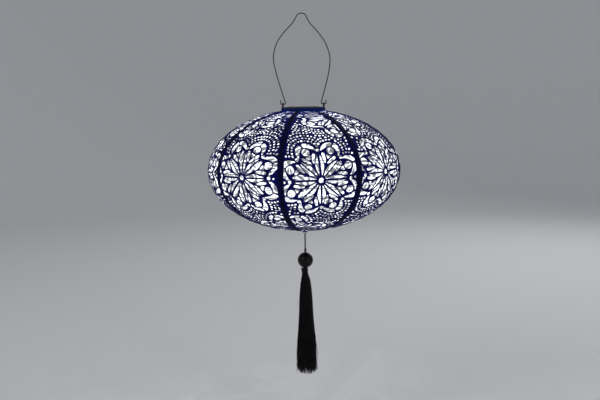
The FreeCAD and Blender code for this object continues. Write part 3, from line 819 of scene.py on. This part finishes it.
def clipped(polygon):
    """The part of a cut-out that stays off the seams and the gore's ends."""
    tests = (
        lambda a, h: float(half_width(h)) - seam_margin(h) - a,
        lambda a, h: float(half_width(h)) - seam_margin(h) + a,
        lambda a, h: SHELL_TOP - TOP_MARGIN - h,
        lambda a, h: h - SHELL_FOOT - FOOT_MARGIN,
    )
    for test in tests:
        values = [test(a, h) for a, h in polygon]
        if min(values) >= 0:
            continue
        if max(values) <= 0:
            return []
        kept = []
        for i, (a, h) in enumerate(polygon):
            j = (i + 1) % len(polygon)
            b, g = polygon[j]
            if values[i] >= 0:
                kept.append((a, h))
            if (values[i] >= 0) != (values[j] >= 0):
                share = values[i] / (values[i] - values[j])
                kept.append((a + (b - a) * share, h + (g - h) * share))
        polygon = kept
    return polygon


def area_of(polygon):
    """Signed area, positive where the corners run counter-clockwise."""
    return 0.5 * sum(a * g - b * h for (a, h), (b, g) in zip(polygon, polygon[1:] + polygon[:1]))


def gore_cuts(mirror, drift, chance):
    """All cut-outs of one gore, on flat cloth."""
    across, height, turn = drift
    flowers = [
        Flower(0, height, MAIN_FLOWER_SIZE, across, radians(turn)),
        Flower(mirror, SIDE_FLOWER_HEIGHT, SIDE_FLOWER_SIZE),
        Flower(-mirror, -SIDE_FLOWER_HEIGHT, SIDE_FLOWER_SIZE),
    ]
    cuts = []
    for flower in flowers:
        for cell in flower_cells(chance):
            piece = clipped([flower.to_cloth(x, y) for x, y in cell])
            if len(piece) > 3 and abs(area_of(piece)) > SMALLEST_CUT:
                cuts.append(piece)
    wanted = []
    for number, flower in enumerate(flowers):
        for gap, x, y in dot_rows(chance):
            wanted.append((gap * flower.size, number, *flower.to_cloth(x, y)))
    wanted.sort()
    placed = []
    for gap, number, across, height in wanted:
        if not SHELL_FOOT + DOT_FOOT_GAP < height < SHELL_TOP - DOT_TOP_GAP:
            continue
        room = float(half_width(height)) - abs(across)
        edge = seam_margin(height) + DOT_RADIUS * 0.7
        if room < DOT_SEAM_GAP or (room < edge and chance.random() > DOT_SEAM_SHARE):
            continue
        others = [f.outline_gap(across, height) for i, f in enumerate(flowers) if i != number]
        if min(others) < min(DOT_CLEARANCE, gap) or min(others) < gap - DOT_ROW_OVERLAP:
            continue
        if any(hypot(across - a, height - h) < DOT_NEAREST for a, h in placed):
            continue
        placed.append((across, height))
        cuts.append(round_hole(across, height, DOT_RADIUS * chance.uniform(0.82, 1.12), 8, chance))
    return cuts


def gore_outline():
    """The gore's edge on flat cloth, counter-clockwise."""
    heights = np.linspace(SHELL_FOOT, SHELL_TOP, EDGE_STEPS)
    right = [(float(half_width(h)) * GORE_SHARE, float(h)) for h in heights]
    left = [(-a, h) for a, h in reversed(right)]
    return right + left


def inner_grid():
    """Points inside the gore that let its cloth follow the shell's curve."""
    grid = []
    for row in range(int((SHELL_TOP - SHELL_FOOT) / GRID_SPACING)):
        height = SHELL_FOOT + GRID_SPACING * (row + 0.5)
        reach_out = int((float(half_width(height)) - GRID_MARGIN) / GRID_SPACING)
        for column in range(-reach_out, reach_out + 1):
            grid.append((column * GRID_SPACING, height))
    return grid


def cloth_triangles(cuts):
    """Flat points and counter-clockwise triangles of the gore without its cut-outs."""
    loops = [gore_outline()]
    for cut in cuts:
        loops.append(cut if area_of(cut) > 0 else cut[::-1])
    points, faces = [], []
    for loop in loops:
        faces.append(list(range(len(points), len(points) + len(loop))))
        points.extend(loop)
    points.extend(inner_grid())
    flat = [Vector(p) for p in points]
    join_distance = 1e-7
    smallest_doubled = 1e-12
    made, _, triangles, _, _, sources = geometry.delaunay_2d_cdt(flat, [], faces, 1, join_distance)
    kept = [t for t, source in zip(triangles, sources) if list(source) == [0]]
    used = sorted({i for t in kept for i in t})
    number = {old: new for new, old in enumerate(used)}
    flat = np.array([tuple(made[i]) for i in used])
    kept = [tuple(number[i] for i in t) for t in kept]
    a, b, c = (flat[[t[k] for t in kept]] for k in range(3))
    doubled = (b[:, 0] - a[:, 0]) * (c[:, 1] - a[:, 1]) - (b[:, 1] - a[:, 1]) * (c[:, 0] - a[:, 0])
    kept = [t if twice > 0 else t[::-1] for t, twice in zip(kept, doubled) if abs(twice) > smallest_doubled]
    return flat, kept, float(abs(doubled).sum() / 2)


def thick_cloth(name, flat, triangles, azimuth, depth, thickness, materials):
    """Cloth on the shell with an outer face, a lining and cut edges."""
    shrink = depth + sag(flat[:, 1])
    outer = on_shell(flat[:, 0], flat[:, 1], azimuth, shrink)
    inner = on_shell(flat[:, 0], flat[:, 1], azimuth, shrink + thickness)
    count = len(flat)
    faces = list(triangles)
    faces += [(c + count, b + count, a + count) for a, b, c in triangles]
    directed = {(t[k], t[(k + 1) % 3]) for t in triangles for k in range(3)}
    rims = [(b, a, a + count, b + count) for a, b in sorted(directed) if (b, a) not in directed]
    side = [0] * len(triangles) + [1] * len(triangles) + [0] * len(rims)
    smooth = [True] * (2 * len(triangles)) + [False] * len(rims)
    points = np.concatenate([outer, inner])
    return new_piece(name, points, faces + rims, materials, "shell", smooth, side)


def fold_with_shell(piece):
    """Gives the piece its own copy of its mesh data."""
    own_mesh(piece)


def gores():
    """The eight gores."""
    for i in range(GORE_COUNT):
        chance = random.Random(100 + i)
        mirror = 1 if i % 2 == 0 else -1
        flat, triangles, area = cloth_triangles(gore_cuts(mirror, MAIN_FLOWER_DRIFTS[i], chance))
        azimuth = (2 * i + 1) * HALF_GORE
        piece = thick_cloth(f"gore_cloth_{i + 1}", flat, triangles, azimuth, 0.0, CLOTH_THICKNESS,
                            [gore_cloth, lining_cloth])
        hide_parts(f"gore_{i + 1}")
        fold_with_shell(piece)


# --- seams, hem ---

def strip_cloth(width, low, high, waver, chance, narrows=False):
    """Flat strip whose edges waver a little."""
    flat = []
    edges = [chance.uniform(-waver, waver) for _ in range(2 * (STRIP_ROWS + 1))]
    for row in range(STRIP_ROWS + 1):
        height = low + (high - low) * row / STRIP_ROWS
        half = width / 2 * (narrowing(height) if narrows else 1.0)
        left = -half + edges[2 * row]
        right = half + edges[2 * row + 1]
        for column in range(STRIP_COLUMNS + 1):
            flat.append((left + (right - left) * column / STRIP_COLUMNS, height))
    triangles = []
    for row in range(STRIP_ROWS):
        for column in range(STRIP_COLUMNS):
            a = row * (STRIP_COLUMNS + 1) + column
            b = a + STRIP_COLUMNS + 1
            triangles += [(a, a + 1, b + 1), (a, b + 1, b)]
    return np.array(flat), triangles


def seams():
    """On each seam, the tape inside and the lapped edge outside, in near-black cloth that paints the seam's
    shade.
    """
    low = SHELL_FOOT + TAPE_FOOT_GAP
    high = SHELL_TOP - STRIP_TOP_GAP
    laps = []
    for i in range(GORE_COUNT):
        chance = random.Random(300 + i)
        azimuth = 2 * i * HALF_GORE
        flat, triangles = strip_cloth(TAPE_WIDTH, low, high, TAPE_WAVER, chance)
        tape = thick_cloth(f"seam_tape_{i + 1}", flat, triangles, azimuth, TAPE_DEPTH, TAPE_THICKNESS,
                           [seam_shade_cloth, lining_cloth])
        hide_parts("seam_tapes")
        fold_with_shell(tape)
        # The lap is near black on both faces: painted shade of the doubled cloth over the seam.
        flat, triangles = strip_cloth(LAP_WIDTH, SHELL_FOOT + LAP_FOOT_GAP, high, LAP_WAVER, chance, True)
        lap = thick_cloth(f"seam_lap_{i + 1}", flat, triangles, azimuth, -LAP_THICKNESS, LAP_THICKNESS,
                          [seam_shade_cloth, seam_shade_cloth])
        fold_with_shell(lap)
        laps.append(lap)
    return laps


def hem():
    """Cloth band under the rim, gently puckered where it is gathered."""
    low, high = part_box("hem_band")
    outer = high.x
    segments = 288
    thickness = 0.0008
    pucker_depth = 0.00010
    # Waves round the band and their shares of the puckering.
    waves = ((46, 1.0), (31, 0.6), (73, 0.5))
    points, faces = [], []
    profile = ((0.0, low.z), (0.00012, low.z + 0.0006), (0.0002, low.z + 0.0022),
               (0.00005, high.z - 0.0008), (-0.0001, high.z), (-thickness, high.z), (-thickness, low.z))
    chance = random.Random(7)
    phases = [chance.uniform(0, tau) for _ in waves]
    for k in range(segments):
        turn = tau * k / segments
        pucker = sum(share * sin(count * turn + phase) for (count, share), phase in zip(waves, phases))
        for out, height in profile:
            radius = outer + out + (pucker_depth * pucker if out > -thickness else 0.0)
            points.append((radius * cos(turn), radius * sin(turn), height))
    rows = len(profile)
    for k in range(segments):
        here = k * rows
        following = (k + 1) % segments * rows
        for j in range(rows):
            other = (j + 1) % rows
            faces.append((here + j, following + j, following + other, here + other))
    band = new_piece("hem_cloth", points, faces, [hem_cloth], "shell")
    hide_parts("hem_band")
    return band


# --- tassel ---

SKIRT_LOW, SKIRT_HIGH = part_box("tassel_skirt")
SKIRT_LENGTH = SKIRT_HIGH.z - SKIRT_LOW.z
BEAD_LOW, BEAD_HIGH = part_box("tassel_bead")
NECK_LOW, NECK_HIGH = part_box("neck_binding")
# The skirt's half width, by share of its length from the neck down.
SKIRT_PROFILE = ((0.0, 0.0040), (0.045, 0.0048), (0.10, 0.0072), (0.17, 0.0092), (0.30, 0.0109),
                 (0.43, 0.0116), (0.56, 0.0131), (0.70, 0.0150), (0.84, 0.0161), (1.0, 0.0155))


def skirt_radius(share):
    """Half width of the skirt at a share of its length."""
    return float(np.interp(share, [s for s, r in SKIRT_PROFILE], [r for s, r in SKIRT_PROFILE]))


def neck_drift(height):
    """Sideways offset of the neck and the threads at a height."""
    return NECK_DRIFT * max(0.0, 1 - (SKIRT_HIGH.z - height) / NECK_DRIFT_LENGTH)


def bead():
    """The ball with its bore, dished a little where the cord goes in and out."""
    centre = (BEAD_LOW.z + BEAD_HIGH.z) / 2
    radius = BEAD_HIGH.x
    lip = asin((BEAD_BORE + BEAD_LIP) / radius)
    profile = [(BEAD_BORE, centre - radius + BEAD_COUNTERSINK)]
    steps = 48
    for i in range(steps + 1):
        turn = lip + (pi - 2 * lip) * i / steps
        profile.append((radius * sin(turn), centre - radius * cos(turn)))
    profile.append((BEAD_BORE, centre + radius - BEAD_COUNTERSINK))
    points, faces = turned(profile, 72, closed=True)
    lacquer = gloss_bead("bead lacquer")
    piece = new_piece("tassel_bead_lacquered", points, faces, [lacquer], "tassel")
    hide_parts("tassel_bead")


def neck():
    """Thread wound round the neck of the tassel."""
    wound = NECK_THREAD_RADIUS
    per_turn = 28
    steps = NECK_TURNS * per_turn
    rise = NECK_HIGH.z - NECK_LOW.z - 2 * wound
    looseness = 0.00006
    chance = random.Random(5)
    path = []
    for i in range(steps + 1):
        turn = tau * i / per_turn
        share = i / steps
        loose = looseness * sin(turn * 0.37 + 1.0)
        out = NECK_WAIST_RADIUS + (NECK_HIGH.x - NECK_WAIST_RADIUS) * share - wound
        out += loose + chance.uniform(-0.00002, 0.00002)
        level = NECK_LOW.z + wound + rise * share
        path.append((out * cos(turn) + neck_drift(level), out * sin(turn), level))
    winding = tube_rings(path, [wound] * len(path), 8)
    waist = NECK_WAIST_RADIUS - wound
    wide = NECK_HIGH.x - wound
    outline = [(0, NECK_LOW.z + 0.0002), (waist, NECK_LOW.z + 0.0004), (wide, NECK_HIGH.z - 0.0004),
               (wide * 0.55, NECK_HIGH.z - 0.0001), (0, NECK_HIGH.z)]
    filling, filling_faces = turned(outline, 32)
    inner = ([(x + neck_drift(z), y, z) for x, y, z in filling], filling_faces)
    points, faces = merged([winding, inner])
    piece = new_piece("neck_winding", points, faces, [black_thread], "tassel")
    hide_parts("neck_binding")


def strand(chance, stray):
    """Centreline of one thread, from inside the binding to its cut end."""
    clump = chance.randrange(CLUMP_COUNT)
    turn = tau * (clump + chance.gauss(0.5, 0.30)) / CLUMP_COUNT
    depth = sqrt(chance.uniform(0.06, 1.0))
    share_end = 1.0 + chance.uniform(-0.055, 0.004) - 0.03 * depth ** 5
    flick = chance.gauss(0, 0.0012)
    crimp = 0.0014 * depth ** 3
    if stray:
        depth = chance.uniform(0.75, 1.0)
        flick = chance.uniform(-0.0005, 0.0056)
        share_end = chance.uniform(0.76, 1.0)
        crimp = 0.0026
    crimp *= chance.uniform(0.2, 1.0)
    phase = chance.uniform(0, tau)
    wander = chance.uniform(0.2, 0.8) * 0.001
    path = []
    for i in range(STRAND_STEPS + 1):
        share = share_end * i / STRAND_STEPS
        frayed = max(0.0, share - FRAY_START) / (1 - FRAY_START)
        out = skirt_radius(share) * depth - STRAND_RADIUS
        out += flick * share ** 4 + crimp * frayed * sin(CRIMP_WAVES[0] * share + 2 * phase)
        sway = wander * share * sin(SWAY_WAVE * share + phase)
        sway += crimp * frayed * cos(CRIMP_WAVES[1] * share + 3 * phase)
        angle = turn + 0.25 * share * sin(phase)
        level = SKIRT_HIGH.z - SKIRT_LENGTH * share
        x = out * cos(angle) - sway * sin(angle) + neck_drift(level)
        y = out * sin(angle) + sway * cos(angle)
        path.append((x, y, level))
    return path


def skirt():
    """The fall of threads, over a plain core that fills its middle."""
    chance = random.Random(11)
    parts = []
    for i in range(STRAND_COUNT):
        path = strand(chance, i < STRAY_COUNT)
        radius = STRAND_RADIUS * chance.uniform(0.8, 1.15)
        radii = [radius] * (len(path) - 1) + [radius * 0.7]
        parts.append(tube_rings(path, radii, 4))
    core_width = 0.72
    core_shares = (0.01, 0.14, 0.3, 0.5, 0.8)
    core_end = 0.84
    core = [(skirt_radius(s) * core_width, SKIRT_HIGH.z - SKIRT_LENGTH * s) for s in core_shares]
    outline = [(0, SKIRT_HIGH.z)] + core + [(0, SKIRT_HIGH.z - SKIRT_LENGTH * core_end)]
    core_points, core_faces = turned(outline, 24)
    parts.append(([(x + neck_drift(z), y, z) for x, y, z in core_points], core_faces))
    points, faces = merged(parts)
    piece = new_piece("tassel_threads", points, faces, [black_thread], "tassel")
    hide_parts("tassel_skirt")


# --- materials of the CAD nodes ---

def dress(node, material):
    """Gives a CAD node its material."""
    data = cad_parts[node].data
    data.materials.clear()
    data.materials.append(material)


def dress_nodes():
    """Materials of the nodes that keep their CAD shape."""
    finishes = (
        (black_plastic, ("collar_ring",)),
        (hoop_paint, tuple(f"hoop_{i + 1:02d}" for i in range(HOOP_COUNT))),
        (unit_plastic, ("solar_cap", "switch_slider")),
        (housing_plastic, ("housing", "battery_door")),
        (steel, ("contact_positive", "contact_negative", "cell_leads", "screws", "switch_body")),
        (handle_paint, ("handle_wire", "tassel_eye", "tassel_ring")),
        (cell_surface("solar cell"), ("solar_cell",)),
        (clear_window("cell window", 0.06), ("cell_window",)),
        (seal_rubber, ("gasket",)),
        (sleeve, ("battery",)),
        (printed_board("circuit board"), ("circuit_board",)),
        (moulded_plastic("board parts", (0.03, 0.03, 0.035), 0.3), ("board_parts",)),
        (lit_led("led"), ("led",)),
        (hub_plastic, ("hub_plate",)),
        (nub_plastic, ("hub_nub",)),
        (black_cord, ("tassel_core",)),
    )
    for material, nodes in finishes:
        for node in nodes:
            dress(node, material)


# --- studio ---

def new_light(name, kind, power, place):
    lamp = bpy.data.objects.new(name, bpy.data.lights.new(name, kind))
    lamp.data.energy = power
    lamp.location = place
    show(lamp)
    return lamp


# Name, place, size in metres and power in watts.
STUDIO_LIGHTS = (
    ("key", (-1.3, -1.9, 1.1), 1.6, 17.0),
    ("fill", (1.9, -1.0, 0.5), 1.8, 8.0),
    ("back", (0.7, 1.9, 0.9), 1.4, 12.0),
)


def studio():
    """Pale floor that curves up into a backdrop all round, and soft light."""
    floor = SKIRT_LOW.z - FLOOR_DROP
    flat = 2.6
    curve = 1.4
    wall_height = 4.0
    profile = [(0, floor), (0.6, floor), (1.4, floor), (flat, floor)]
    steps = 16
    for i in range(1, steps + 1):
        turn = pi / 2 * i / steps
        profile.append((flat + curve * sin(turn), floor + curve * (1 - cos(turn))))
    profile.append((flat + curve, floor + wall_height))
    backdrop = new_mesh("floor", *turned(profile, 96), [studio_paint("studio paint", (0.80, 0.80, 0.81))])

    world = bpy.data.worlds.new("studio")
    world.use_nodes = True
    sky = world.node_tree.nodes["Background"]
    sky.inputs["Color"].default_value = (0.90, 0.93, 1.0, 1)
    sky.inputs["Strength"].default_value = 0.30
    bpy.context.scene.world = world

    middle = Vector((0, 0, SHELL_CENTRE))
    for name, place, size, power in STUDIO_LIGHTS:
        lamp = new_light(name, "AREA", power, place)
        lamp.data.size = size
        lamp.rotation_euler = (Vector(place) - middle).to_track_quat("Z", "Y").to_euler()
        lamp.visible_camera = False


def lamp_light():
    """The lamp's own light, just below its tip."""
    lamp = new_light("led_light", "POINT", LAMP_POWER, Vector(LAMP_PLACE) - Vector((0, 0, LAMP_DROP)))
    lamp.data.color = (0.96, 0.98, 1.0)
    lamp.data.shadow_soft_size = LAMP_RADIUS
    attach(lamp, "solar_unit")


trims = [[lap] for lap in seams()]
trims[0].append(hem())
gores()
bead()
neck()
skirt()
dress_nodes()
studio()
lamp_light()
bpy.context.scene.view_settings.view_transform = "Standard"
